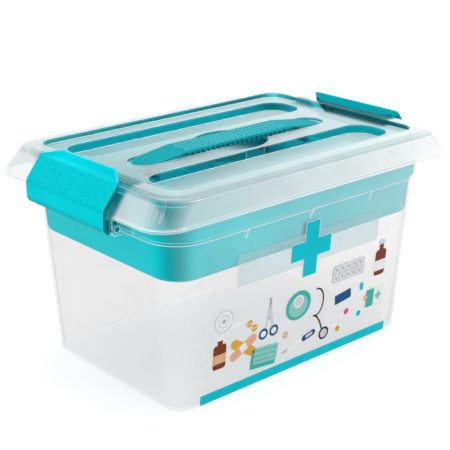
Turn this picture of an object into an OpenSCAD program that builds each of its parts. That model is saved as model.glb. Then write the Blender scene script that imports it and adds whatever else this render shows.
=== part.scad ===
// First aid box: clear tapered body, clear lid with a lift handle, two snap latches,
// a lift-out tray and a printed label on the front wall. Sizes in millimetres, Z up.
// The origin is the middle of the base, on the floor, and the label faces -Y.

/* [Body] */
// Length of the base, outside
base_l = 289; // [250:1:330]
// Width of the base, outside
base_w = 188; // [160:1:220]
// Corner radius of the base
base_r = 19; // [14:1:26]
// Height of the body's rim
body_h = 200; // [190:1:215]
// Draft of the walls, in degrees
draft = 4.7; // [3:0.1:5.5]
// Wall thickness of the body
wall = 2.2; // [1.6:0.1:2.6]
// Thickness of the floor
floor_t = 2.6; // [2:0.1:4]
// Radius of the edge round the floor
base_edge = 3; // [2.8:0.1:6]
// Height of the collar, from the step to the rim
collar_h = 42; // [36:1:50]
// How far the collar stands out
step_out = 3; // [2.4:0.1:3.6]
// Spacing of the small ribs under the step and inside the lid's skirt
rib_pitch = 77; // [60:1:90]

/* [Tray] */
// Depth of the tray below its resting step
tray_drop = 37; // [24:0.5:45]
// Height of the tray above its resting step
tray_rise = 32; // [24:1:34]
// Wall thickness of the tray
tray_wall = 1.8; // [1.4:0.1:2.2]
// Gap between the tray and the body's wall
tray_gap = 0.6; // [0.4:0.1:0.9]
// Height of the dividers above the tray's floor
divider_h = 47; // [30:1:52]
// Thickness of the dividers
divider_t = 1.6; // [1.2:0.1:2.4]
// Distance between the cross dividers
divider_pitch = 74; // [60:1:100]

/* [Lid] */
// How far the lid's lip stands past the rim at the ends
over_end = 18.6; // [16:0.2:21]
// How far the lid's lip stands past the rim at the sides
over_side = 9.8; // [8.4:0.2:12]
// Corner radius of the lip
lip_r = 27.5; // [22:0.5:32]
// Height of the thick lip
lip_h = 3.4; // [2.6:0.2:5]
// Depth of the skirt below the rim's top
skirt_h = 21; // [18:0.5:23]
// Wall thickness of the lid
lid_wall = 2.2; // [1.8:0.1:2.6]
// Width of the flat frame round the lid's top
frame_w = 11.2; // [9:0.2:13]
// Drop from the frame to the top panel
panel_drop = 5; // [4:0.2:6]
// Width of the two long troughs
trough_w = 47; // [38:1:50]
// Gap between the troughs, across the handle
trough_gap = 73; // [71:1:80]
// Depth of the two long troughs
trough_d = 8.6; // [5:0.1:10]
// Radius of the finger well under the grip
well_r = 33.4; // [26:0.2:33.6]
// Length of the finger well, along the grip
well_l = 74; // [67.5:0.5:84]
// Depth of the finger well
well_d = 16; // [10:0.5:20]

/* [Handle] */
// Distance between the ends of the handle's tongues
handle_l = 224; // [214:1:236]
// Width of the handle
handle_w = 28; // [22:0.5:30]
// Length of the straight grip
grip_l = 132; // [120:1:140]
// Thickness of the grip
grip_t = 2.2; // [2:0.1:4.4]
// How far the handle lifts before its hooks catch
handle_lift = 10; // [6:0.5:12]
// Distance between the handle's legs
leg_span = 188; // [180:1:192]

/* [Latches] */
// Width of each latch
latch_w = 114; // [90:1:130]
// Width of the finger lip at its free edge
lip_w = 77; // [50:1:88]
// Height of the finger lip above the latch's shelf
finger_h = 5.2; // [3:0.2:7]
// Outer radius of the latch's lower edge
edge_r = 7; // [4:0.2:8]
// Thickness of the latch's skin
skin = 2; // [1.6:0.1:2.4]
// Diameter of the hinge pins
pin_d = 5; // [4:0.1:6]
// Radial clearance of the pins in the ears
pin_gap = 0.1; // [0.05:0.01:0.2]
// Thickness of the ears that carry the pins
ear_t = 3; // [2.4:0.1:4]

/* [Label] */
// Width of the label
label_w = 240; // [200:1:248]
// Gap from the label's top edge up to the step
label_gap = 12.3; // [10:0.1:45]
// Thickness of the label
label_t = 0.3; // [0.2:0.05:0.5]

/* [Hidden] */
$fn = 64;
eps = 0.01;
clear_col = [0.9, 0.93, 0.95, 0.45];
teal = [0, 0.72, 0.76];

// Corner centres that the body and the tray share
cx = base_l / 2 - base_r;
cy = base_w / 2 - base_r;
slope = tan(draft);
step_z = body_h - collar_h;
// Radius of the body's outer wall round a corner centre, below and above the step
function r_low(z) = base_r + z * slope;
function r_high(z) = r_low(z) + step_out;
ledge_z = step_z + wall;
rim_x = cx + r_high(body_h);
rim_y = cy + r_high(body_h);

// Lid: half sizes of its lip, shoulder, frame and panel
lip_x = rim_x + over_end;
lip_y = rim_y + over_side;
lip_z = body_h - skirt_h;
lip_bead = 1.2;
shoulder_x = rim_x + 3.4;
shoulder_y = rim_y + 6.4;
shoulder_z = body_h + 2;
shoulder_r = 30.5;
frame_x = rim_x - 3;
frame_y = rim_y - 3;
frame_z = body_h + 4;
frame_r = 22;
panel_x = frame_x - frame_w;
panel_y = frame_y - frame_w;
panel_r = 17;
panel_z = frame_z - panel_drop;
seat_in = 5;

// Troughs, channel and well of the top panel
trough_x = panel_x - 14.4;
trough_y = (trough_gap + trough_w) / 2;
trough_r = 19;
channel_d = 3;
channel_fit = 1.5;
channel_w = handle_w + 2 * channel_fit;
channel_x = handle_l / 2 + 5;
channel_z = panel_z - channel_d;
slot_fit = 0.5;

// Handle: heights of its arch, legs and hooks
rest_gap = 0.1;
tongue_t = 2.4;
grip_z = frame_z - 0.4;
leg_t = 3;
leg_w = 18;
hook_out = 2.4;
hook_t = 2.4;
hook_z = channel_z - lid_wall - 0.3 - handle_lift;

// Latches: hinge axis, shelf and faces, measured outward from the middle of the box
pin_x = lip_x - 5.9;
pin_z = lip_z - 9.8;
face_x = lip_x + 5.7;
face_top = lip_z + 7;
crest_x = shoulder_x + 5;
shelf_gap = 0.3;
shelf_z = frame_z + shelf_gap + skin;
shelf_x = frame_x - 1.6;
boss_r = pin_d / 2 + 1.9;
skirt_gap = 0.8;
cheek_t = 2.4;
cheek_in = 3;
ear_gap = 0.5;
pin_short = 0.8;
ear_y = latch_w / 2 + ear_gap;

// Points of an arc round a centre
function arc(c, r, a, b, n = 6) =
    [for (i = [0:n]) c + r * [cos(a + (b - a) * i / n), sin(a + (b - a) * i / n)]];
function reversed(p) = [for (i = [len(p) - 1:-1:0]) p[i]];
function unit(v) = v / norm(v);
function left_of(v) = [-v[1], v[0]];
// A path moved sideways by t, to its left, with mitred corners
function beside(p, t) = [for (i = [0:len(p) - 1])
    let (n1 = left_of(unit(p[max(i, 1)] - p[max(i, 1) - 1])),
         j = min(i, len(p) - 2),
         n2 = left_of(unit(p[j + 1] - p[j])))
    p[i] + t * (n1 + n2) / (1 + n1 * n2)];

// Turns a wall profile, drawn as radius and height, round a rounded rectangle
module wall_ring(profile, hx = cx, hy = cy) {
    for (sx = [-1, 1], sy = [-1, 1])
        translate([sx * hx, sy * hy, 0])
            rotate([0, 0, sx > 0 ? (sy > 0 ? 0 : -90) : (sy > 0 ? 90 : 180)])
                rotate_extrude(angle = 90) polygon(profile);
    for (a = [0, 180]) rotate([0, 0, a]) {
        translate([hx, 0, 0]) rotate([90, 0, 0])
            linear_extrude(2 * hy, center = true) polygon(profile);
        rotate([0, 0, 90]) translate([hy, 0, 0]) rotate([90, 0, 0])
            linear_extrude(2 * hx, center = true) polygon(profile);
    }
}

module rounded_plate(hx, hy, r, z0, z1) {
    translate([0, 0, z0]) linear_extrude(z1 - z0) {
        square([2 * hx, 2 * (hy - r)], center = true);
        square([2 * (hx - r), 2 * hy], center = true);
        for (sx = [-1, 1], sy = [-1, 1])
            translate([sx * (hx - r), sy * (hy - r)]) circle(r);
    }
}

// A skin through rounded rectangles given as half length, half width, corner radius, height
module loft(rings, steps = 10) {
    n = 4 * (steps + 1);
    function ring(q) = [for (c = [0:3], i = [0:steps])
        let (a = 90 * c + 90 * i / steps,
             sx = (c == 0 || c == 3) ? 1 : -1,
             sy = c < 2 ? 1 : -1)
        [sx * (q[0] - q[2]) + q[2] * cos(a), sy * (q[1] - q[2]) + q[2] * sin(a), q[3]]];
    m = len(rings);
    polyhedron(
        points = [for (q = rings) each ring(q)],
        faces = concat(
            [[for (i = [0:n - 1]) i]],
            [for (k = [0:m - 2], i = [0:n - 1]) each
                let (a = k * n + i, b = k * n + (i + 1) % n)
                [[b, a, a + n], [b, a + n, b + n]]],
            [[for (i = [n - 1:-1:0]) (m - 1) * n + i]]));
}

// Body

// Outline of the body's wall and floor, from a corner centre outward
function body_profile() =
    let (turn = tan(draft) - 1 / cos(draft),
         edge_c = [base_r + base_edge * turn, base_edge],
         in_r = base_edge - wall,
         in_c = [base_r - wall / cos(draft) + (floor_t + in_r) * slope - in_r / cos(draft), floor_t + in_r],
         thick = wall / cos(draft),
         bevel = 0.5)
    concat(
        [[0, 0]],
        arc(edge_c, base_edge, -90, -draft),
        [[r_low(step_z), step_z], [r_high(step_z), step_z + 0.6],
         [r_high(body_h - bevel), body_h - bevel], [r_high(body_h) - bevel, body_h],
         [r_high(body_h) - thick + bevel, body_h], [r_high(body_h - bevel) - thick, body_h - bevel],
         [r_high(ledge_z) - thick, ledge_z], [r_low(ledge_z) - thick, ledge_z]],
        reversed(arc(in_c, in_r, -90, -draft)),
        [[0, floor_t]]);

module step_ribs() {
    rib_h = 9;
    rib_t = 1.4;
    for (side = [-1, 1], k = [-1, 0, 1])
        translate([k * rib_pitch, side * cy, 0])
            rotate([90, 0, side * 90])
                linear_extrude(rib_t, center = true)
                    polygon([[r_low(step_z - rib_h) - wall / 2, step_z - rib_h],
                             [r_low(step_z - rib_h), step_z - rib_h],
                             [r_high(step_z) - 0.3, step_z - 0.4],
                             [r_high(step_z) - 0.3, step_z + 0.8],
                             [r_low(step_z) - wall / 2, step_z + 0.8]]);
}

// One ear: a gusset plate on the collar with the bore for a latch pin
module ear() {
    top = lip_z - 1;
    out = pin_x + boss_r + 1.2;
    low = pin_z - boss_r - 1;
    root = cx + r_high(step_z) - wall / 2;
    translate([0, ear_t / 2, 0]) rotate([90, 0, 0]) linear_extrude(ear_t)
        difference() {
            polygon(concat(
                [[root, top + 0.6], [out, top]],
                reversed(arc([out - 3, low + 3], 3, -90, 0, 4)),
                [[pin_x - boss_r, low], [root, step_z + 0.3]]));
            translate([pin_x, pin_z]) circle(pin_d / 2 + pin_gap);
        }
}

module body() color(clear_col) {
    wall_ring(body_profile());
    translate([-cx, -cy, 0]) cube([2 * cx, 2 * cy, floor_t]);
    step_ribs();
    for (end = [0, 180], side = [-1, 1])
        rotate([0, 0, end]) translate([0, side * (ear_y + ear_t / 2), 0]) ear();
}

// Tray

tray_in = wall / cos(draft) + tray_gap;
tray_top = ledge_z + tray_rise;
tray_z = ledge_z - tray_drop;
tray_floor = 2;
function tray_profile() =
    let (thick = tray_wall / cos(draft),
         foot = 4,
         foot_c = [r_low(tray_z + foot) - tray_in - foot / cos(draft), tray_z + foot],
         heel = foot - tray_wall,
         heel_c = [r_low(tray_z + foot) - tray_in - thick - heel / cos(draft), tray_z + tray_floor + heel])
    concat(
        [[0, tray_z]],
        arc(foot_c, foot, -90, -draft, 5),
        [[r_low(ledge_z) - tray_in, ledge_z], [r_high(ledge_z) - tray_in, ledge_z],
         [r_high(tray_top) - tray_in, tray_top], [r_high(tray_top) - tray_in - thick, tray_top],
         [r_high(ledge_z + tray_wall) - tray_in - thick, ledge_z + tray_wall],
         [r_low(ledge_z + tray_wall) - tray_in - thick, ledge_z + tray_wall]],
        reversed(arc(heel_c, heel, -90, -draft, 4)),
        [[0, tray_z + tray_floor]]);

// A divider across the tray, its ends set into the drafted walls; reach is the corner centre it passes
module divider(reach) {
    z0 = tray_z + tray_floor / 2;
    z1 = tray_z + tray_floor + divider_h;
    bite = tray_in + tray_wall / 2;
    x0 = reach + r_low(z0 + 6) - bite - 1;
    x1 = reach + r_low(z1) - bite;
    rotate([90, 0, 0]) linear_extrude(divider_t, center = true)
        polygon([[-x0 + 4, z0], [x0 - 4, z0], [x0, z0 + 5], [x1, z1], [-x1, z1], [-x0, z0 + 5]]);
}

module tray() color(teal) {
    wall_ring(tray_profile());
    translate([-cx, -cy, tray_z]) cube([2 * cx, 2 * cy, tray_floor]);
    divider(cx);
    for (k = [-1, 1])
        translate([k * divider_pitch / 2, 0, 0]) rotate([0, 0, 90]) divider(cy);
}

// Lid

module lid_outside() loft([
    [lip_x - 0.8, lip_y - 0.8, lip_r - 0.8, lip_z],
    [lip_x, lip_y, lip_r, lip_z + 0.8],
    [lip_x, lip_y, lip_r, lip_z + lip_h - 0.8],
    [lip_x - lip_bead, lip_y - lip_bead, lip_r - lip_bead, lip_z + lip_h],
    [shoulder_x, shoulder_y, shoulder_r, shoulder_z - 0.8],
    [shoulder_x - 0.9, shoulder_y - 1.1, shoulder_r - 0.9, shoulder_z],
    [frame_x + 0.7, frame_y + 0.9, frame_r + 0.7, frame_z - 0.2],
    [frame_x, frame_y, frame_r, frame_z]]);

module lid_inside() {
    in = lid_wall + lip_bead;
    loft([
        [lip_x - in, lip_y - in, lip_r - in, lip_z - 1],
        [lip_x - in, lip_y - in, lip_r - in, lip_z + lip_h],
        [rim_x + 1.6, rim_y + 3.8, shoulder_r - lid_wall, body_h]]);
    loft([
        [rim_x - seat_in, rim_y - seat_in, frame_r - 2, body_h - 1],
        [rim_x - seat_in, rim_y - seat_in, frame_r - 2, frame_z - lid_wall]]);
}

// The sunk panel with its troughs, channel and well, as solid blocks
module panel_blocks() {
    t = lid_wall;
    rounded_plate(panel_x + t, panel_y + t, panel_r + t, panel_z - t, frame_z - 0.4);
    for (side = [-1, 1]) translate([0, side * trough_y, 0])
        rounded_plate(trough_x + t, trough_w / 2 + t, trough_r + t, panel_z - trough_d - t, panel_z - t / 2);
    rounded_plate(channel_x + t, channel_w / 2 + t, channel_w / 2 + t - eps, channel_z - t, panel_z - t / 2);
    translate([0, 0, panel_z - well_d - t]) scale([well_l / (2 * well_r), 1, 1])
        cylinder(r = well_r + t, h = well_d + t / 2);
}

module panel_hollows() {
    above = frame_z + 1;
    rounded_plate(panel_x, panel_y, panel_r, panel_z, above);
    for (side = [-1, 1]) translate([0, side * trough_y, 0])
        rounded_plate(trough_x, trough_w / 2, trough_r, panel_z - trough_d, panel_z + 1);
    rounded_plate(channel_x, channel_w / 2, channel_w / 2 - eps, channel_z, panel_z + 1);
    edge = 5;
    translate([0, 0, panel_z - well_d]) scale([well_l / (2 * well_r), 1, 1]) rotate_extrude()
        polygon(concat([[0, 0]], arc([well_r - edge, edge], edge, -90, 0),
                       [[well_r, well_d + 1], [0, well_d + 1]]));
}

module leg_slots() {
    for (side = [-1, 1])
        translate([side * leg_span / 2, 0, channel_z - lid_wall / 2])
            cube([leg_t + hook_out + 2 * slot_fit, leg_w + 2 * slot_fit, lid_wall + 2], center = true);
}

// Stiffening ribs between the skirt and the frame, on both long sides
module skirt_ribs() {
    t = 1.4;
    for (side = [0, 180], x = [-rib_pitch, 0, rib_pitch]) rotate([0, 0, side])
        translate([x - t / 2, -shoulder_y + 1.2, lip_z + 7]) cube([t, 3.2, body_h - lip_z - 6]);
}

// A gusset inside each corner of the skirt, its outer edge set into the wall
module corner_gussets() {
    t = 1.4;
    turn = 30;
    low = lip_z + lip_h + 4;
    hip = shoulder_z - 0.8;
    function reach(x, y, r) = (x - r) * cos(turn) + (y - r) * sin(turn) + r;
    flare = reach(lip_x - lip_bead, lip_y - lip_bead, lip_r - lip_bead)
        - reach(shoulder_x, shoulder_y, shoulder_r);
    function out(z) = shoulder_r + flare * (hip - z) / (hip - lip_z - lip_h) - lid_wall / 2;
    for (a = [0, 180], m = [0, 1]) rotate([0, 0, a]) mirror([0, m, 0])
        translate([shoulder_x - shoulder_r, shoulder_y - shoulder_r, 0]) rotate([90, 0, turn])
            linear_extrude(t, center = true)
                polygon([[shoulder_r - 4.4, body_h + 1], [shoulder_r - 4.4, low + 8],
                         [out(low) - 2.4, low], [out(low), low], [out(body_h + 1), body_h + 1]]);
}

module lid() color(clear_col) difference() {
    union() {
        difference() {
            lid_outside();
            lid_inside();
        }
        panel_blocks();
        skirt_ribs();
        corner_gussets();
    }
    panel_hollows();
    leg_slots();
}

// Handle

rib_drop = 3.8;
function mirrored(p) = [for (q = p) [-q[0], q[1]]];
// Half of the arch's top line, from the grip to the tongue's end, and of its underside
function arch() = [
    [grip_l / 2, grip_z], [grip_l / 2 + 8, grip_z - 1.2],
    [handle_l / 2 - 14, channel_z + tongue_t + 0.8], [handle_l / 2, channel_z + rest_gap + 0.8]];
function arch_under() = [
    [handle_l / 2, channel_z + rest_gap], [handle_l / 2 - 18, channel_z + rest_gap],
    [grip_l / 2 + 4, grip_z - grip_t], [grip_l / 2, grip_z - grip_t]];

// Height of the arch's underside at a distance from the middle
function under_z(x) = lookup(x, reversed(arch_under()));

// One leg with its hook, its root set into the arch
module handle_leg() {
    foot = hook_z - hook_t;
    inner = leg_span / 2 - leg_t / 2 - hook_out / 2;
    root = under_z(inner) + tongue_t / 3;
    translate([inner, 0, 0]) rotate([90, 0, 0])
        linear_extrude(leg_w, center = true)
            polygon([[0, root], [0, foot], [leg_t, foot],
                     [leg_t + hook_out, hook_z - 0.6], [leg_t + hook_out, hook_z],
                     [leg_t, hook_z], [leg_t, root]]);
}

// Cross ribs on the underside of the grip
module grip_ribs() {
    pitch = grip_l / 22;
    for (k = [-10:10]) translate([k * pitch, 0, grip_z - grip_t - rib_drop / 2 + 0.25])
        cube([1.2, handle_w - 1.6, rib_drop + 0.5], center = true);
}

module handle() color(teal) {
    intersection() {
        rotate([90, 0, 0]) linear_extrude(handle_w + 2, center = true)
            polygon(concat(reversed(mirrored(arch())), arch(),
                           arch_under(), reversed(mirrored(arch_under()))));
        rounded_plate(handle_l / 2, handle_w / 2, handle_w / 2 - eps, channel_z, grip_z + 1);
    }
    grip_ribs();
    for (side = [0, 180]) rotate([0, 0, side]) handle_leg();
}

// Latches

bend_r = 9;
foot_z = pin_z - boss_r;
nose_x = shelf_x + skin;
// The latch's outer line, up its face, round the bend, over the crest and in along the shelf,
// where t is the depth below its outer surface
function latch_corner() = [crest_x, shelf_z];
function latch_foot(t = 0, from = -80) = arc([face_x - edge_r, foot_z + edge_r], edge_r - t, from, 0, 4);
function latch_bend(t = 0) =
    let (d = latch_corner() - [face_x, face_top],
         turn = atan2(-d[0], d[1]))
    arc([face_x - bend_r, face_top - bend_r * tan(turn / 2)], bend_r - t, 0, turn, 5);
function latch_crest() =
    let (c = latch_corner(),
         down = unit([face_x, face_top] - c),
         back = [-1, 0])
    [c + 1.2 * down, c + 0.36 * (down + back), c + 1.2 * back, [nose_x - skin / 2, shelf_z]];
function latch_inside(t) =
    beside(concat(latch_foot(), latch_bend(), [latch_corner(), [nose_x - skin / 2, shelf_z]]), t);

// An end plate of the latch, its rim set half into the skin, with the boss of the pin
function cheek_section() =
    let (mid = skin / 2,
         line = latch_inside(mid),
         near = shoulder_x + skirt_gap)
    concat(
        [[pin_x - boss_r, lip_z - 2.2]],
        arc([pin_x, pin_z], boss_r, 180, 270, 8),
        latch_foot(mid, -90), latch_bend(mid),
        [line[len(line) - 2], [near, shelf_z - mid], [near, shoulder_z - 0.6],
         [lip_x + skirt_gap, lip_z + lip_h + 0.8], [lip_x + skirt_gap, lip_z - 2.2]]);

// Where the shelf's slanting side meets the latch's end
function end_corner() = [crest_x - 1, latch_w / 2];

// The finger lip, along the shelf's edge and falling away along its two slanting sides
module finger_lip() {
    over = 0.5;
    low = 1;
    path = [[shelf_x, 0], [shelf_x, lip_w / 2], end_corner()];
    out = over * left_of(unit(path[2] - path[1]));
    half = concat([path[1], path[1] + out, path[2] + out], reversed(beside(path, -skin)));
    intersection() {
        for (side = [-1, 1]) translate([0, 0, shelf_z - skin]) linear_extrude(skin + finger_h)
            polygon([for (q = concat(half, [[shelf_x + skin, -1], [shelf_x, -1]])) [q[0], side * q[1]]]);
        translate([shelf_x - 5, 0, 0]) rotate([90, 0, 90]) linear_extrude(40)
            polygon([[-latch_w / 2, shelf_z - skin], [latch_w / 2, shelf_z - skin],
                     [latch_w / 2, shelf_z + low], [lip_w / 2, shelf_z + finger_h],
                     [-lip_w / 2, shelf_z + finger_h], [-latch_w / 2, shelf_z + low]]);
    }
}

// Cuts the shelf's two corners back to the finger lip
module corner_cuts() {
    over = 0.2;
    corner = end_corner();
    run = [shelf_x, lip_w / 2] - corner;
    near = corner - over * run;
    far = corner + (1 + over) * run;
    for (side = [-1, 1]) translate([0, 0, lip_z + lip_h + 4]) linear_extrude(40)
        polygon([for (q = [near, [near[0], near[1] + 5], [shelf_x - 5, near[1] + 5], far])
                 [q[0], side * q[1]]]);
}

module latch() color(teal) {
    cheek_y = latch_w / 2 - cheek_in - cheek_t / 2;
    difference() {
        union() {
            rotate([90, 0, 0]) linear_extrude(latch_w, center = true)
                polygon(concat(latch_foot(), latch_bend(), latch_crest(), reversed(latch_inside(skin))));
            for (side = [-1, 1]) translate([0, side * cheek_y, 0])
                rotate([90, 0, 0]) linear_extrude(cheek_t, center = true) polygon(cheek_section());
            finger_lip();
        }
        corner_cuts();
    }
    for (side = [-1, 1])
        translate([pin_x, side * cheek_y, pin_z]) rotate([-90 * side, 0, 0])
            cylinder(d = pin_d, h = cheek_t / 2 + cheek_in + ear_gap + ear_t - pin_short);
}

module latch_right() latch();
module latch_left() rotate([0, 0, 180]) latch();

// Label: a film on the front wall, above the floor's edge
module label() color("white") {
    corner = 4;
    foot = base_edge + 0.2;
    label_h = (step_z - label_gap - foot) / cos(draft);
    translate([0, -cy - r_low(foot), foot]) rotate([90 + draft, 0, 0]) linear_extrude(label_t)
        translate([-label_w / 2, 0]) {
            translate([corner, 0]) square([label_w - 2 * corner, label_h]);
            translate([0, corner]) square([label_w, label_h - 2 * corner]);
            for (x = [corner, label_w - corner], y = [corner, label_h - corner])
                translate([x, y]) circle(corner);
        }
}

body();
tray();
lid();
handle();
latch_left();
latch_right();
label();
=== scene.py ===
"""Looks for the first aid box: clear hazy plastic, teal tray, handle and latches, and a printed label.

Metres, in the part's own frame: +Z up, the label faces -Y, the latches are at +X and -X.
"""

import math

import bpy
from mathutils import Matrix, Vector


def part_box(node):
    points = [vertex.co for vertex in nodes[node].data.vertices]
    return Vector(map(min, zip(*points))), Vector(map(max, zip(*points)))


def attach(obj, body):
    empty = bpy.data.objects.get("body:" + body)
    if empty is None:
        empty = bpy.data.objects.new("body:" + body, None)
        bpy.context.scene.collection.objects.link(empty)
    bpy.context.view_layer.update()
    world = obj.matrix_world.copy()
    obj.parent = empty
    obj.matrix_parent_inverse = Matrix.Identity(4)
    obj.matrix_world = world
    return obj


MM = 0.001

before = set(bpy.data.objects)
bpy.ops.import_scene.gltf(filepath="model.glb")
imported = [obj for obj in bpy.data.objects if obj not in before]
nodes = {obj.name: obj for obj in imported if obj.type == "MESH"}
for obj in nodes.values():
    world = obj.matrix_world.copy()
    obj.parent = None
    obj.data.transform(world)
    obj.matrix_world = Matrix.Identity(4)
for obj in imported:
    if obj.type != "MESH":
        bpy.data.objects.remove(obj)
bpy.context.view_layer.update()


# Camera, at the photograph's angle

AZIMUTH, ELEVATION = -41.55, 19.74
DISTANCE = 1105.3 * MM
TARGET = Vector((-4.2, 0.0, 119.9)) * MM
LENS, SENSOR = 92.6, 36
SHIFT = (-0.0049, -0.0104)
CLIP = (0.05, 50)


def add_camera():
    a, e = math.radians(AZIMUTH), math.radians(ELEVATION)
    back = Vector((math.sin(a) * math.cos(e), -math.cos(a) * math.cos(e), math.sin(e)))
    data = bpy.data.cameras.new("camera")
    data.lens = LENS
    data.sensor_width = SENSOR
    data.shift_x, data.shift_y = SHIFT
    data.clip_start, data.clip_end = CLIP
    cam = bpy.data.objects.new("camera", data)
    cam.location = TARGET + back * DISTANCE
    cam.rotation_euler = back.to_track_quat("Z", "Y").to_euler()
    bpy.context.scene.collection.objects.link(cam)
    bpy.context.scene.camera = cam


# Node helpers

WHITE = (1, 1, 1, 1)


def shade(color, share):
    """A colour brought down or up to a share of itself."""
    return tuple(min(1.0, c * share) for c in color)


class Nodes:
    """Short calls for the node tree of a material or world."""

    def __init__(self, owner, output="OutputMaterial"):
        self.owner = owner
        owner.use_nodes = True
        self.tree = owner.node_tree
        self.tree.nodes.clear()
        self.out = self.add(output)

    def add(self, kind, **values):
        """A new node. Each value goes to the node's setting of that name or, if it has none, its input."""
        node = self.tree.nodes.new("ShaderNode" + kind)
        for key, value in values.items():
            if hasattr(node, key):
                setattr(node, key, value)
            else:
                self.feed(node.inputs[key.replace("_", " ")], value)
        return node

    def feed(self, socket, value):
        """Link an input to another node's output, or set it to a plain value."""
        if hasattr(value, "links"):
            self.tree.links.new(value, socket)
        else:
            socket.default_value = value

    def math(self, operation, *values):
        node = self.add("Math", operation=operation)
        for socket, value in zip(node.inputs, values):
            self.feed(socket, value)
        return node.outputs[0]

    def vector(self, operation, *values):
        node = self.add("VectorMath", operation=operation)
        for socket, value in zip(node.inputs, values):
            self.feed(socket, value)
        return node.outputs

    def plus(self, first, *rest):
        for value in rest:
            first = self.math("ADD", first, value)
        return first

    def times(self, first, *rest):
        for value in rest:
            first = self.math("MULTIPLY", first, value)
        return first

    def power(self, value, exponent):
        return self.math("POWER", value, exponent)

    def inverse(self, value):
        """0 for 1, and 1 for 0."""
        return self.math("SUBTRACT", 1.0, value)

    def place(self):
        """The point's X, Y and Z in the part's frame."""
        return self.add("SeparateXYZ", Vector=self.add("TexCoord").outputs["Object"]).outputs

    def upright(self):
        """How squarely the surface faces along X, Y and Z in the part's frame, each from 0 to 1."""
        parts = self.add("SeparateXYZ", Vector=self.add("TexCoord").outputs["Normal"])
        return [self.math("ABSOLUTE", part) for part in parts.outputs]

    def beyond(self, axis, near, far):
        """0 nearer to the middle than near, measured along an axis, and 1 past far."""
        away = self.math("ABSOLUTE", self.place()[axis])
        step = self.math("DIVIDE", self.math("SUBTRACT", away, near), far - near)
        return self.math("MINIMUM", self.math("MAXIMUM", step, 0.0), 1.0)

    def inside(self, far_x, far_y):
        """1 within a plain rectangle round the middle, seen from above, and 0 outside it."""
        x, y, _ = self.place()
        within = self.math("LESS_THAN", self.math("ABSOLUTE", x), far_x)
        return self.times(within, self.math("LESS_THAN", self.math("ABSOLUTE", y), far_y))

    def towards(self):
        """Below 0 where the surface faces the part's upright middle line, over 0 where it faces away."""
        place = self.add("TexCoord")
        flat = self.vector("MULTIPLY", place.outputs["Normal"], (1, 1, 0))["Vector"]
        return self.vector("DOT_PRODUCT", flat, place.outputs["Object"])["Value"]

    def edges(self, radius, gain):
        """1 along sharp edges, fading to 0 a short way onto the faces."""
        rounded = self.add("Bevel", samples=6, Radius=radius).outputs[0]
        flat = self.add("NewGeometry").outputs["Normal"]
        away = self.times(self.inverse(self.vector("DOT_PRODUCT", rounded, flat)["Value"]), gain)
        return self.math("MINIMUM", away, 1.0)

    def noise(self, scale, detail=2.0, roughness=0.5):
        place = self.add("TexCoord").outputs["Object"]
        node = self.add("TexNoise", Vector=place, Scale=scale, Detail=detail, Roughness=roughness)
        return node.outputs["Fac"]

    def ramp(self, factor, low, high, start=0.3, end=0.7):
        node = self.add("ValToRGB", Fac=factor)
        for element, position, color in zip(node.color_ramp.elements, (start, end), (low, high)):
            element.position = position
            element.color = (*color, 1)
        return node.outputs["Color"]

    def blend(self, factor, first, second):
        """A socket's colour mixed with a plain one."""
        node = self.add("Mix", data_type="RGBA", Factor=factor, A=first, B=(*second, 1))
        return node.outputs["Result"]

    def bump(self, height, strength, distance):
        return self.add("Bump", Strength=strength, Distance=distance, Height=height).outputs["Normal"]

    def mix(self, factor, first, second):
        node = self.add("MixShader")
        for socket, value in zip(node.inputs, (factor, first.outputs[0], second.outputs[0])):
            self.feed(socket, value)
        return node

    def done(self, shader):
        self.feed(self.out.inputs["Surface"], shader.outputs[0])
        return self.owner


# Clear plastic

# The body's front and back walls stand further out along Y than SHEEN_FROM, the lid's skirt than
# SKIRT_FROM, and its flaring ends further out along X than FLARE_FROM. The sides of the lid's recess
# lie inside RECESS and over RECESS_FLOOR, the outermost of them outside RIM, and those of its well
# inside WELL and over WELL_FLOOR.
LID_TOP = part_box("lid")[1].z
SHEEN_FROM = -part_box("label")[1].y - 3 * MM
SKIRT_FROM = 106 * MM
FLARE_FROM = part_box("lid")[1].x - 17 * MM
FLARE_TOP = LID_TOP - 3 * MM
FRAME_FROM = LID_TOP - 1.5 * MM
LATCH_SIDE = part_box("latch_left")[1].y
RECESS, RECESS_FLOOR = (152.6 * MM, 102.2 * MM), 188.5 * MM
RIM = (148.5 * MM, 98.2 * MM)
WELL, WELL_FLOOR = (41 * MM, 36 * MM), 178 * MM
FADE, FLARE_FADE = 6 * MM, 4 * MM

# Towards +X the haze grows by SHEEN_DRIFT and whitens by SHEEN_WHITENING, both per metre, as a painted
# reflection, and it varies by CLOUDING all over. In front of a latch only the share LATCH_HAZE of the
# lid's level haze stays, and a surface seen from its back loses the share BACK_LOSS of its haze and
# shine. The haze grows as it is seen more aslant, down to LEAST_ACROSS.
SHEEN_DRIFT, SHEEN_WHITENING = 2.6, 4.0
CLOUDING = 0.3
LATCH_HAZE, FLARE_HAZE, MOST_HAZE = 0.04, 0.42, 0.93
BACK_LOSS = 0.65
LEAST_ACROSS = 0.2
LEAST_SHINE = 0.002
EDGE_R, EDGE_GAIN = 1.0 * MM, 14.0
LEVEL_TINT = (0.995, 0.994, 0.994)
FLARE_TINT = (0.91, 0.91, 0.915)
RECESS_TINT = (0.22, 0.86, 0.88)
# the rim and well tints are darkened as painted shade
RIM_TINT_AND_SHADE = (0.18, 0.70, 0.73)
WELL_TINT_AND_SHADE = (0.12, 0.52, 0.55)
TEAL_MILKY = (0.86, 0.915, 0.915)
MILKY, WHITEST = (0.865, 0.86, 0.865), (0.95, 0.945, 0.95)


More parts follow.
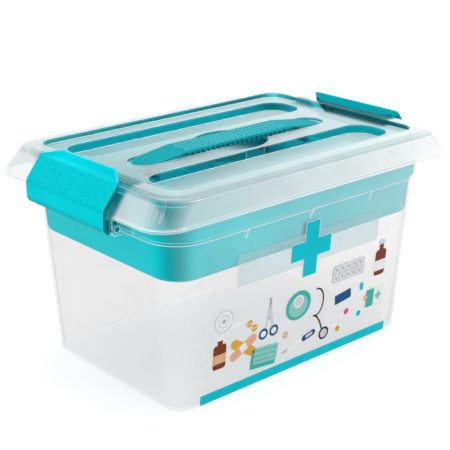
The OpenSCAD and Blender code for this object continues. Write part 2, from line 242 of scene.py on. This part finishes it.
class Clear(Nodes):
    """Clear moulded plastic: tinted glass with a milky haze and a shine over it. Its front and back carry
    more haze, a painted reflection, where they stand further out along Y than start."""

    def __init__(self, name, start):
        super().__init__(bpy.data.materials.new(name))
        self.facing = self.add("LayerWeight", Blend=0.5).outputs["Facing"]
        self.x, _, self.z = self.place()
        _, self.ny, self.nz = self.upright()
        self.level = self.power(self.nz, 6.0)
        self.front_sheen = self.times(self.power(self.ny, 4.0), self.beyond("Y", start, start + FADE))
        # the lid stays nearly clear where a latch shows through its end
        self.aside = self.beyond("Y", LATCH_SIDE, LATCH_SIDE + FADE)
        middle = self.inverse(self.beyond("X", RIM[0] - 2 * FADE, RIM[0] - FADE / 3))
        self.veiled = self.math("MAXIMUM", self.math("MAXIMUM", self.aside, middle), LATCH_HAZE)

    def haze(self, wall, front_sheen, level=0.0, lid_frame=0.0):
        """Haze on steep walls, on the front and back, and on level faces, which grows towards +X, with some
        more on the lid's frame. The haze on the front and back and its growth towards +X are a painted
        reflection, and on level faces and the frame it is partly haze, partly a painted reflection of the
        light from above."""
        sheen_drift = self.plus(1.0, self.times(self.x, SHEEN_DRIFT))
        top = self.math("GREATER_THAN", self.z, FRAME_FROM)
        flat = self.plus(self.times(sheen_drift, level), self.times(top, lid_frame))
        flat = self.times(self.level, flat, self.veiled)
        return self.plus(wall, self.times(sheen_drift, self.front_sheen, front_sheen), flat)

    def flare(self):
        """1 on the lid's flaring ends beside the latches."""
        endwise = self.power(self.inverse(self.times(self.ny, self.ny)), 4.0)
        low = self.math("LESS_THAN", self.z, FLARE_TOP)
        return self.times(endwise, low, self.beyond("X", FLARE_FROM, FLARE_FROM + FLARE_FADE), self.aside)

    def tint(self, clear=(0.976, 0.972, 0.973), aslant=(0.84, 0.83, 0.832)):
        """The glass's colour seen squarely, and seen aslant."""
        return self.ramp(self.power(self.facing, 3.0), clear, aslant, start=0.0)

    def tray_tint_and_shade(self, tint):
        """The tray's colour on the sides of the lid's recess, troughs and well, which it shines through.
        The outermost sides and the well's sides that face its middle take it darker, as painted shade of
        the tray's shaded inside.
        """
        steep = self.math("MINIMUM", self.times(self.inverse(self.nz), 2.0), 1.0)
        deep = self.times(steep, self.math("GREATER_THAN", self.z, WELL_FLOOR))
        side = self.times(deep, self.math("GREATER_THAN", self.z, RECESS_FLOOR), self.inside(*RECESS))
        inner = self.inside(*RIM)
        tint = self.blend(self.times(side, inner), tint, RECESS_TINT)
        tint = self.blend(self.times(side, self.inverse(inner)), tint, RIM_TINT_AND_SHADE)
        inward_shade = self.math("LESS_THAN", self.towards(), 0.0)
        return self.blend(self.times(deep, inward_shade, self.inside(*WELL)), tint, WELL_TINT_AND_SHADE)

    def finish(self, haze, tint, rough, gloss=0.5, highlit_edges=0.0, highlight_haze=0.0, highlight_shine=0.0, cloudy=MILKY):
        """The whole material. Along its edges, where lit is 1, haze grows by edge and shine by spark,
        painting highlight lines there.
        """
        across = self.math("MAXIMUM", self.inverse(self.facing), LEAST_ACROSS)
        cloud = self.plus(1 - CLOUDING / 2, self.times(self.noise(scale=30, detail=3.0), CLOUDING))
        veil = self.math("DIVIDE", self.times(haze, cloud), self.power(across, 0.5))
        veil = self.math("MINIMUM", self.plus(veil, self.times(highlit_edges, highlight_haze)), MOST_HAZE)
        shine = self.times(self.power(self.facing, 5.0), gloss)
        shine = self.plus(LEAST_SHINE, shine, self.times(highlit_edges, highlight_shine))
        outer = self.inverse(self.times(self.add("NewGeometry").outputs["Backfacing"], BACK_LOSS))
        # painted reflection: the front and back whiten towards +X
        sheen_whiter = self.times(self.math("MAXIMUM", self.x, 0.0), self.front_sheen, SHEEN_WHITENING)
        ripple = self.bump(self.noise(scale=60, detail=1.0), strength=0.02, distance=2 * MM)
        glass = self.add("BsdfTransparent", Color=tint)
        milk = self.add("BsdfPrincipled", Base_Color=self.ramp(sheen_whiter, cloudy, WHITEST), Roughness=0.6,
                        Specular_IOR_Level=0.0)
        skin = self.add("BsdfGlossy", Color=WHITE, Roughness=rough, Normal=ripple)
        under = self.mix(self.times(veil, outer), glass, milk)
        return self.done(self.mix(self.times(shine, outer), under, skin))


def body_plastic():
    n = Clear("clear_body", SHEEN_FROM)
    # the haze on the front and back is a painted reflection
    haze = n.haze(wall=0.002, front_sheen=0.18, level=0.02)
    tint = n.blend(n.level, n.tint(), LEVEL_TINT)
    # painted highlight lines along the edges
    return n.finish(haze, tint, rough=0.12, highlit_edges=n.edges(EDGE_R, EDGE_GAIN), highlight_haze=0.8, highlight_shine=0.5)


def lid_plastic():
    n = Clear("clear_lid", SKIRT_FROM)
    flare = n.flare()
    # the front, back, level and frame haze is partly a painted reflection
    haze = n.haze(wall=0.004, front_sheen=0.60, level=0.22, lid_frame=0.12)
    haze = n.plus(haze, n.times(flare, FLARE_HAZE))
    tint = n.tray_tint_and_shade(n.blend(flare, n.tint(), FLARE_TINT))
    # painted highlight lines along the edges, kept off where a latch shows through
    highlit_edges = n.times(n.edges(EDGE_R, EDGE_GAIN), n.veiled)
    return n.finish(haze, tint, rough=0.07, gloss=0.7, highlit_edges=highlit_edges, highlight_haze=0.9, highlight_shine=0.3, cloudy=TEAL_MILKY)


def label_plastic():
    n = Clear("label_film", SHEEN_FROM)
    tint = n.tint(clear=(0.998, 0.997, 0.997), aslant=(0.97, 0.97, 0.97))
    return n.finish(n.haze(wall=0.0, front_sheen=0.004), n.blend(n.level, tint, LEVEL_TINT), rough=0.15)


# Teal plastic

TONE_SPREAD, GLOSS_SPREAD = 0.06, 0.12
GRAIN_DEPTH = 0.6 * MM


class Teal(Nodes):
    """Moulded teal plastic: slight colour variation, a soft gloss, fine grain and paler edges, a painted
    highlight.
    """

    def __init__(self, name, color, grain_size, highlight_radius=0.7 * MM, highlight_share=0.35):
        super().__init__(bpy.data.materials.new(name))
        self.color = color
        self.grain_size = grain_size
        dark, pale = shade(color, 1 - TONE_SPREAD), shade(color, 1 + TONE_SPREAD)
        self.tone = self.ramp(self.noise(scale=18, detail=3.0), dark, pale)
        self.height = self.noise(scale=1.0 / grain_size, roughness=0.6)
        # paler edges: a painted highlight
        self.edge_highlights = self.times(self.edges(highlight_radius, gain=5.0), highlight_share)
        self.nx, self.ny, self.nz = self.upright()

    def darken(self, where, share):
        """Bring the colour down to a share of itself where the factor is 1."""
        self.tone = self.blend(where, self.tone, shade(self.color, share))

    def finish(self, rough, grain, spec=0.06, highlight_color=(0.25, 0.85, 0.9), glow=0.0):
        """The whole material, which lets the share glow of its light through."""
        gloss = self.plus(rough - GLOSS_SPREAD / 2, self.times(self.noise(scale=90), GLOSS_SPREAD))
        color = self.blend(self.edge_highlights, self.tone, highlight_color)
        body = self.add("BsdfPrincipled", Base_Color=color, Roughness=gloss, Specular_IOR_Level=spec,
                        Normal=self.bump(self.height, grain, GRAIN_DEPTH))
        if glow <= 0:
            return self.done(body)
        return self.done(self.mix(glow, body, self.add("BsdfTranslucent", Color=self.tone)))


def tray_plastic():
    """Paler along its rims, a painted highlight, and darker at its corners, a painted shade."""
    n = Teal("tray_teal", (0.0, 0.91, 1.0), 2 * MM, highlight_radius=1.3 * MM, highlight_share=1.0)
    # painted shade at the corners
    corner_shade = n.power(n.times(n.nx, n.ny, 2.0), 2.0)
    n.darken(n.times(corner_shade, 0.9), 0.5)
    return n.finish(rough=0.4, grain=0.08, spec=0.02, highlight_color=(0.5, 1.0, 1.0), glow=0.15)


def handle_plastic():
    n = Teal("handle_teal", (0.0, 0.35, 0.40), 1.2 * MM)
    return n.finish(rough=0.42, grain=0.1, spec=0.02)


def latch_plastic():
    """Grained and pitted on the leaning face alone, and darker at the ends, on the inner side and on the
    leaning face, all painted shade.
    """
    n = Teal("latch_teal", (0.0, 0.69, 0.77), 1.8 * MM)
    leaning = n.math("MINIMUM", n.times(n.nx, n.nz, 4.0), 1.0)
    pits = n.math("GREATER_THAN", n.noise(scale=0.9 / n.grain_size, roughness=0.6), 0.58)
    end = n.power(n.ny, 4.0)
    inward_shade = n.math("LESS_THAN", n.towards(), -50 * MM)
    n.height = n.times(n.height, leaning)
    n.edge_highlights = n.times(n.edge_highlights, n.inverse(end))
    # painted shade on the inner side, at the ends and on the leaning face
    n.darken(n.times(inward_shade, 0.55), 0.45)
    n.darken(end, 0.38)
    n.darken(n.times(leaning, 0.9), 0.86)
    n.darken(n.times(pits, leaning, 0.6), 0.55)
    return n.finish(rough=0.5, grain=1.0, spec=0.02)


# Materials on the CAD nodes

def dress(node, material):
    o = nodes[node]
    o.data.materials.clear()
    o.data.materials.append(material)


def dress_nodes():
    dress("body", body_plastic())
    dress("lid", lid_plastic())
    dress("label", label_plastic())
    dress("tray", tray_plastic())
    dress("handle", handle_plastic())
    latch = latch_plastic()
    dress("latch_left", latch)
    dress("latch_right", latch)


# Added pieces

def add_mesh(name, verts, faces, materials, picks=None, smooth=False):
    mesh = bpy.data.meshes.new(name)
    mesh.from_pydata([tuple(v) for v in verts], [], faces)
    for m in materials:
        mesh.materials.append(m)
    if picks:
        mesh.polygons.foreach_set("material_index", picks)
    if smooth:
        mesh.polygons.foreach_set("use_smooth", [True] * len(faces))
    mesh.update()
    o = bpy.data.objects.new(name, mesh)
    bpy.context.scene.collection.objects.link(o)
    return o


# Grip dots are small raised rings in staggered rows along the handle. A ring's outline
# goes inwards from its foot, with its radius in millimetres and its height as a share of DOT_RISE. Its
# first HIGHLIGHT_BANDS are painted pale as a highlight, and the rest is its dimple, painted dark as shade.
GRIP_L = 132 * MM
DOT_ROWS, DOT_PITCH, ROW_GAP = 4, 6.6 * MM, 6.2 * MM
DOT_RISE = 0.4 * MM
DOT_OUTLINE = [(2.5, 0.0), (2.3, 0.8), (1.9, 1.0), (1.6, 0.5), (1.5, 0.08), (0.0, 0.05)]
HIGHLIGHT_BANDS = 3
DOT_STEPS = 18


def add_dot(x, y, z, verts, faces, picks):
    base, bands = len(verts), len(DOT_OUTLINE) - 2
    for r, h in DOT_OUTLINE[:-1]:
        for i in range(DOT_STEPS):
            a = 2 * math.pi * i / DOT_STEPS
            verts.append((x + r * MM * math.cos(a), y + r * MM * math.sin(a), z + h * DOT_RISE))
    verts.append((x, y, z + DOT_OUTLINE[-1][1] * DOT_RISE))
    for j in range(bands):
        for i in range(DOT_STEPS):
            a, b = base + j * DOT_STEPS + i, base + j * DOT_STEPS + (i + 1) % DOT_STEPS
            faces.append((a, b, b + DOT_STEPS, a + DOT_STEPS))
            picks.append(0 if j < HIGHLIGHT_BANDS else 1)
    last = base + bands * DOT_STEPS
    for i in range(DOT_STEPS):
        faces.append((last + i, last + (i + 1) % DOT_STEPS, len(verts) - 1))
        picks.append(1)


def add_grip_dots():
    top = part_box("handle")[1].z
    count = int(GRIP_L / DOT_PITCH) - 1
    verts, faces, picks = [], [], []
    for row in range(DOT_ROWS):
        y = (row - (DOT_ROWS - 1) / 2) * ROW_GAP
        stagger = DOT_PITCH / 4 if row % 2 else -DOT_PITCH / 4
        for k in range(count):
            add_dot((k - (count - 1) / 2) * DOT_PITCH + stagger, y, top, verts, faces, picks)
    # the pale rings are a painted highlight and the dark dimples a painted shade
    pale = Teal("grip_ring_highlight", (0.08, 0.62, 0.68), 1.0 * MM).finish(rough=0.35, grain=0.05)
    deep = Teal("grip_dimple_shade", (0.0, 0.09, 0.11), 1.0 * MM, highlight_share=0.0).finish(rough=0.5, grain=0.05)
    o = add_mesh("grip_dots", verts, faces, [pale, deep], picks, smooth=True)
    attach(o, "handle_group")


# Label print, laid out in millimetres across from the wall's middle and up the wall

DRAFT = math.radians(4.7)
FILM = 0.3 * MM
LAYER = 0.03 * MM
ARC_STEP = 15
DISC_SIDES = 28
INK_SPREAD, INK_GLOW = 0.03, 0.12


def ink(name, color, cover):
    """Printed ink with a faint grain, which lets some light through, and covers the film by a share."""
    n = Nodes(bpy.data.materials.new(name))
    tone = n.ramp(n.noise(scale=60), shade(color, 1 - INK_SPREAD), shade(color, 1 + INK_SPREAD))
    grain = n.bump(n.noise(scale=300), strength=0.02, distance=0.2 * MM)
    solid = n.add("BsdfPrincipled", Base_Color=tone, Roughness=0.35, Specular_IOR_Level=0.1, Normal=grain)
    solid = n.mix(INK_GLOW, solid, n.add("BsdfTranslucent", Color=tone))
    if cover >= 1:
        return n.done(solid)
    return n.done(n.mix(cover, n.add("BsdfTransparent"), solid))


class Print:
    """Flat printed shapes on the label, each in its own thin layer."""

    def __init__(self):
        low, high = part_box("label")
        # the outer face leans out with the wall, so its lowest edge is the inmost one
        self.foot = Vector((0.0, high.y - FILM * math.cos(DRAFT), low.z))
        self.up = Vector((0.0, -math.sin(DRAFT), math.cos(DRAFT)))
        self.out = Vector((0.0, -math.cos(DRAFT), -math.sin(DRAFT)))
        self.verts, self.faces, self.picks, self.mats, self.names = [], [], [], [], {}

    def color(self, name, rgb, cover=1.0):
        self.names[name] = len(self.mats)
        self.mats.append(ink("ink_" + name, rgb, cover))

    def shape(self, color, points, layer=1):
        lift = self.out * (1 + layer) * LAYER
        base = len(self.verts)
        for x, v in points:
            self.verts.append(self.foot + Vector((x * MM, 0, 0)) + self.up * (v * MM) + lift)
        self.faces.append(tuple(range(base, base + len(points))))
        self.picks.append(self.names[color])

    def turned(self, color, pts, x, v, turn, layer):
        c, s = math.cos(math.radians(turn)), math.sin(math.radians(turn))
        self.shape(color, [(x + c * a - s * b, v + s * a + c * b) for a, b in pts], layer)

    def box(self, color, x, v, w, h, r=0.0, turn=0.0, layer=1):
        pts = []
        r = min(r, w / 2, h / 2)
        for cx, cy, start in ((1, 1, 0), (-1, 1, 90), (-1, -1, 180), (1, -1, 270)):
            for degrees in range(start, start + (91 if r > 0 else 1), ARC_STEP):
                a = math.radians(degrees)
                pts.append((cx * (w / 2 - r) + r * math.cos(a), cy * (h / 2 - r) + r * math.sin(a)))
        self.turned(color, pts, x, v, turn, layer)

    def disc(self, color, x, v, r, layer=1, squash=1.0):
        turns = [2 * math.pi * i / DISC_SIDES for i in range(DISC_SIDES)]
        self.shape(color, [(x + r * math.cos(a), v + squash * r * math.sin(a)) for a in turns], layer)

    def stroke(self, color, pts, width, layer=1):
        left, right = [], []
        for i, (x, v) in enumerate(pts):
            x0, v0 = pts[max(i - 1, 0)]
            x1, v1 = pts[min(i + 1, len(pts) - 1)]
            d = math.hypot(x1 - x0, v1 - v0)
            nx, nv = -(v1 - v0) / d * width / 2, (x1 - x0) / d * width / 2
            left.append((x + nx, v + nv))
            right.append((x - nx, v - nv))
        for i in range(len(pts) - 1):
            self.shape(color, [right[i], right[i + 1], left[i + 1], left[i]], layer)

    def finish(self):
        o = add_mesh("label_print", self.verts, self.faces, self.mats, self.picks)
        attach(o, "box")


def add_label_print():
    p = Print()
    p.color("teal", (0.0, 0.60, 0.71))
    p.color("pale", (0.62, 0.82, 0.86), cover=0.5)
    p.color("trim", (0.70, 0.88, 0.90), cover=0.9)
    p.color("green", (0.05, 0.50, 0.44))
    p.color("mint", (0.30, 0.68, 0.62))
    p.color("navy", (0.01, 0.09, 0.24))
    p.color("brown", (0.22, 0.045, 0.015))
    p.color("amber", (0.80, 0.42, 0.05))
    p.color("peach", (0.85, 0.48, 0.28))
    p.color("pink", (0.72, 0.09, 0.32))
    p.color("grey", (0.52, 0.54, 0.56))
    p.color("silver", (0.70, 0.73, 0.76))
    p.color("white", (0.96, 0.97, 0.98))
    p.color("dark", (0.02, 0.015, 0.015))
    add_band_and_banner(p)
    add_cross(p, 4.4, 116.5)
    add_motifs(p)
    p.finish()


def add_band_and_banner(p):
    p.box("teal", 0, 2.4, 239.5, 9.6)
    p.box("pale", 5, 117.5, 180, 31, 4.5)


def add_cross(p, x, v):
    tall, wide, arm, trim = 53.5, 50, 17, 1.6
    p.box("trim", x, v, arm + trim, tall + trim, layer=2)
    p.box("trim", x, v, wide + trim, arm + trim, layer=2)
    p.box("teal", x, v, arm, tall, layer=3)
    p.box("teal", x, v, wide, arm, layer=4)


# Motifs of the label, each round its own middle at x and v

def add_motifs(p):
    gauze_roll(p, -97, 74)
    pill_bottle(p, -100, 40)
    plasters(p, -72, 40)
    scissors(p, -42, 60)
    cloth(p, -46, 22)
    ice_bag(p, -6, 62)
    stethoscope(p, 18, 58)
    thermometer(p, 4, 24)
    blister_strip(p, 58, 80)
    tube(p, 60, 54)
    syrup_bottle(p, 103, 76)
    for x, v, turn, color in ((58, 34, 25, "pink"), (76, 29, -20, "teal"), (48, 22, -35, "amber")):
        capsule(p, x, v, turn, color)
    for x, v, color in ((-66, 62, "amber"), (-60, 56, "amber"), (88, 42, "peach"), (-20, 36, "peach")):
        tablet(p, x, v, color)
    carton(p, 100, 40)


def gauze_roll(p, x, v):
    rings = ((11, "silver"), (9.6, "white"), (6.4, "silver"), (5.2, "white"), (2.2, "grey"))
    for layer, (r, color) in enumerate(rings, start=2):
        p.disc(color, x, v, r, layer)
    p.box("white", x + 13, v - 8.8, 24, 4.4, 1, layer=2)


def pill_bottle(p, x, v):
    p.box("brown", x, v, 15, 24, 3, layer=2)
    p.box("brown", x, v + 14, 6, 6, 1, layer=3)
    p.box("white", x, v + 18.5, 8.5, 5, 1, layer=4)
    p.box("peach", x, v - 2, 15, 9, layer=4)


def syrup_bottle(p, x, v):
    p.box("brown", x, v, 15, 27, 3.5, layer=2)
    p.box("brown", x, v + 16, 6, 8, 1, layer=3)
    p.box("silver", x, v + 21.5, 8, 5, 1, layer=4)
    p.box("white", x, v - 3, 15, 11, layer=4)


def plasters(p, x, v):
    for turn, color, layer in ((28, "peach", 3), (-32, "amber", 2)):
        p.box(color, x, v, 34, 9.5, 4.7, turn, layer)
    p.box("white", x, v, 8, 8, 1, 28, 5)


def scissors(p, x, v):
    for side in (-1, 1):
        p.box("silver", x + side * 1.6, v + 6, 3, 30, 1.2, side * 9, 3)
        p.disc("navy", x + side * 6.4, v - 14, 5.6, 3)
        p.disc("white", x + side * 6.4, v - 14, 3.2, 4)
    p.disc("grey", x, v, 1.4, 5)


def cloth(p, x, v):
    turn = -6
    p.box("green", x, v, 32, 20, 2, turn, 2)
    p.box("mint", x + 2.5, v + 2.5, 29, 17, 2, turn, 3)
    for k in range(3):
        p.box("green", x + 2.5, v - 2.5 + 5 * k, 26, 0.8, 0.3, turn, 4)


def ice_bag(p, x, v):
    p.disc("green", x, v, 16, 2, 0.92)
    p.disc("mint", x, v - 1, 12, 3, 0.9)
    p.disc("white", x, v + 4, 6.4, 4)
    p.disc("silver", x, v + 4, 5.0, 5)


def stethoscope(p, x, v):
    wide, tall, line = 9, 14, 1.7
    arc = [math.radians(a) for a in range(200, -20, -14)]
    p.stroke("dark", [(x + wide * math.sin(a), v + tall * math.cos(a)) for a in arc], line, 2)
    start = x + wide * math.sin(arc[0])
    p.stroke("dark", [(start + 1.1 * k, v - 13.2 - 0.12 * k * k) for k in range(15)], line, 2)
    p.disc("dark", x + 13.5, v - 36.5, 6.6, 3)
    p.disc("silver", x + 13.5, v - 36.5, 4.6, 4)


def thermometer(p, x, v):
    turn = 14
    p.box("white", x, v, 44, 6.4, 3.2, turn, 3)
    p.box("navy", x + 7, v + 1.8, 18, 6.4, 3.2, turn, 4)
    p.box("silver", x + 7.5, v + 2, 9, 3, 0.6, turn, 5)
    p.box("grey", x - 23.4, v - 5.8, 8, 2, 1, turn, 4)


def blister_strip(p, x, v):
    p.box("silver", x, v, 44, 18, 2.5, layer=2)
    for i in range(5):
        for j in range(2):
            p.disc("white", x - 16 + 8 * i, v - 4.4 + 8.8 * j, 2.9, 3)
            p.disc("grey", x - 16 + 8 * i, v - 4.4 + 8.8 * j, 1.9, 4)


def tube(p, x, v):
    turn = 8
    p.box("white", x, v, 36, 10, 1.5, turn, 2)
    p.box("navy", x - 6, v - 0.8, 22, 10, 1, turn, 3)
    p.box("teal", x + 19.5, v + 2.8, 5, 8, 1, turn, 4)


def capsule(p, x, v, turn, color):
    c, s = math.cos(math.radians(turn)), math.sin(math.radians(turn))
    p.box("white", x, v, 13, 5.6, 2.8, turn, 2)
    p.box(color, x + 3.2 * c, v + 3.2 * s, 6.6, 5.6, 2.6, turn, 3)


def tablet(p, x, v, color):
    p.disc(color, x, v, 3.6, 2)
    p.box("white", x, v, 5.4, 0.7, layer=3)


def carton(p, x, v):
    p.box("green", x, v, 24, 19, 1, layer=2)
    p.box("white", x + 5.5, v, 13, 19, 1, layer=3)
    p.box("mint", x + 5.5, v, 3, 9, layer=4)
    p.box("mint", x + 5.5, v, 9, 3, layer=4)


# Floor, world and lights

FLOOR_HALF = 6.0
FLOOR_DROP = 0.2 * MM
FLOOR_COLOR = (0.4, 0.395, 0.395, 1)
FLOOR_GLOW = 0.68
FULL_GLOW_AT = 2.5
WORLD_LIGHT = 0.55
AIM = Vector((0, 0, 0.1))
# each softbox's place, its width and height, and its power in watts
SOFTBOXES = {
    "softbox_top": ((0.1, 0.2, 1.5), (1.6, 1.4), 12),
    "softbox_front": ((0.85, -1.45, 0.5), (1.2, 0.8), 12.3),
    "softbox_left": ((-1.5, -0.5, 0.3), (1.0, 0.8), 10),
}


def seen(n):
    """1 for what the camera sees, also in or through a surface, and 0 for what lights the part."""
    path = n.add("LightPath").outputs
    straight = n.math("MAXIMUM", path["Is Camera Ray"], path["Is Glossy Ray"])
    return n.math("MAXIMUM", straight, path["Is Transmission Ray"])


def add_floor():
    n = Nodes(bpy.data.materials.new("floor_white"))
    base = n.add("BsdfDiffuse", Color=FLOOR_COLOR)
    away = n.vector("LENGTH", n.add("TexCoord").outputs["Object"])["Value"]
    far = n.math("MINIMUM", n.math("DIVIDE", away, FULL_GLOW_AT), 1.0)
    glow = n.add("Emission", Color=WHITE, Strength=n.plus(FLOOR_GLOW, n.times(far, 1.0 - FLOOR_GLOW)))
    both = n.add("AddShader")
    n.feed(both.inputs[0], base.outputs[0])
    n.feed(both.inputs[1], glow.outputs[0])
    mat = n.done(n.mix(seen(n), base, both))
    s = FLOOR_HALF
    floor = add_mesh("floor", [(-s, -s, 0), (s, -s, 0), (s, s, 0), (-s, s, 0)], [(0, 1, 2, 3)], [mat])
    floor.location.z = -FLOOR_DROP


def add_world():
    world = bpy.data.worlds.new("world")
    bpy.context.scene.world = world
    n = Nodes(world, "OutputWorld")
    light = n.add("Background", Color=WHITE, Strength=WORLD_LIGHT)
    white = n.add("Background", Color=WHITE, Strength=1.0)
    n.done(n.mix(seen(n), light, white))


def add_softbox(name, place, size, power):
    data = bpy.data.lights.new(name, "AREA")
    data.shape = "RECTANGLE"
    data.size, data.size_y = size
    data.energy = power
    lamp = bpy.data.objects.new(name, data)
    lamp.location = place
    lamp.rotation_euler = (Vector(place) - AIM).to_track_quat("Z", "Y").to_euler()
    bpy.context.scene.collection.objects.link(lamp)


dress_nodes()
add_camera()
add_grip_dots()
add_label_print()
add_floor()
add_world()
for name, values in SOFTBOXES.items():
    add_softbox(name, *values)

scene = bpy.context.scene
scene.view_settings.view_transform = "Standard"
scene.cycles.transparent_max_bounces = 48
